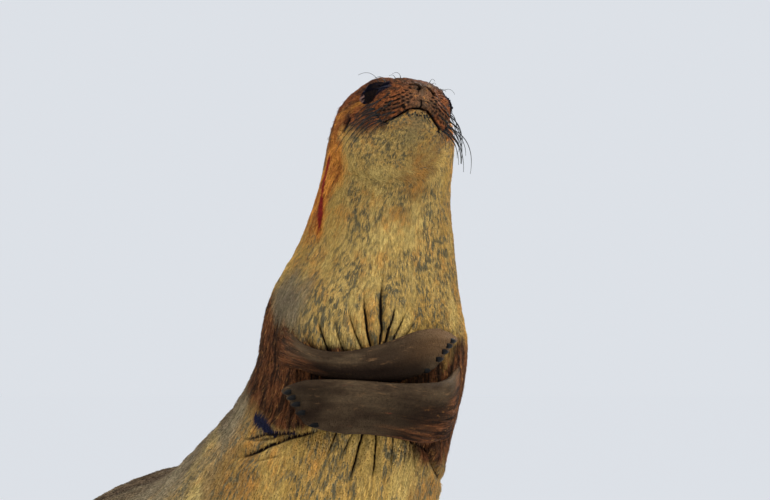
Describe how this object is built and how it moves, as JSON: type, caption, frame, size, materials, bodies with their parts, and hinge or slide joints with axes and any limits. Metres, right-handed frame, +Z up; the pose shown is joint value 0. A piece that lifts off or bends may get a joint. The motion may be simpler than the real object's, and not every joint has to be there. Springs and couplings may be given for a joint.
{
  "type": "elephant seal",
  "caption": "Young southern elephant seal reared up on its belly, short furred foreflippers folded across the chest, head raised.",
  "frame": {"origin": "centre of the footprint's outline, on the floor the belly lies on", "axes": "+Z up; +Y towards the trailing hind flippers, along the body's length; the chest faces -Y; +X is the seal's left"},
  "size_m": [0.548, 1.9712, 1.2868],
  "materials": {
    "coat_face": "short flat fur, matt",
    "coat_body": "short flat fur, matt",
    "coat_flipper": "very short fur over skin, dull sheen",
    "coat_hind": "very short fur over skin, dull sheen",
    "eye_dark": "wet, glossy, opaque black",
    "claw_horn": "worn horn, dull"
  },
  "bodies": {
    "root": {"head": "coat_face", "jaw": "coat_face", "neck": "coat_body", "chest": "coat_body", "abdomen": "coat_body", "hips": "coat_body", "tail": "coat_hind", "foreflipper_left": "coat_flipper", "foreflipper_right": "coat_flipper", "hind_flipper_left": "coat_hind", "hind_flipper_right": "coat_hind", "eye_left": "eye_dark", "eye_right": "eye_dark", "claw_left_1": "claw_horn", "claw_left_2": "claw_horn", "claw_left_3": "claw_horn", "claw_left_4": "claw_horn", "claw_left_5": "claw_horn", "claw_right_1": "claw_horn", "claw_right_2": "claw_horn", "claw_right_3": "claw_horn", "claw_right_4": "claw_horn", "claw_right_5": "claw_horn"}
  },
  "joints": []
}
